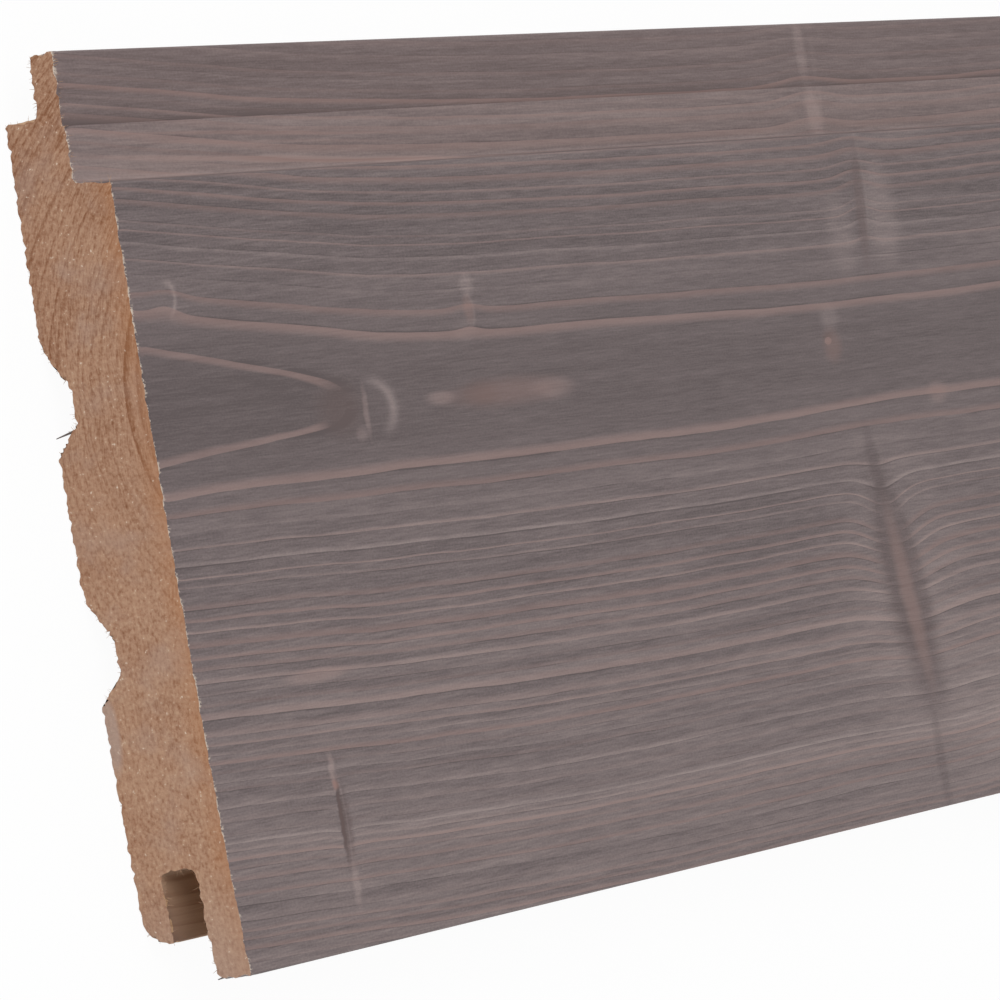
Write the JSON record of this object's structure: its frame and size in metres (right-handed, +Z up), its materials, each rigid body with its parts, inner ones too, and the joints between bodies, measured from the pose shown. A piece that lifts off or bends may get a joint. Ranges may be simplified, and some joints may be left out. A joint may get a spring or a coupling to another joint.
{
  "type": "tongue and groove board",
  "caption": "Long softwood wall board with a tongue on one edge, a groove in the other, a rebate that leaves a shadow gap at the face, and relief channels along its back.",
  "frame": {"origin": "middle of the board's length and width, on the plane of its back face", "axes": "+X along the grain, +Y from the groove edge to the tongue edge, +Z up out of the finished face"},
  "size_m": [1.8, 0.12, 0.015],
  "materials": {
    "stained_spruce": "planed spruce with a matt grey-brown translucent stain on the face, rebate and tongue front; bare wood on the ends, groove and back"
  },
  "bodies": {
    "root": {"board": "stained_spruce"}
  },
  "joints": []
}
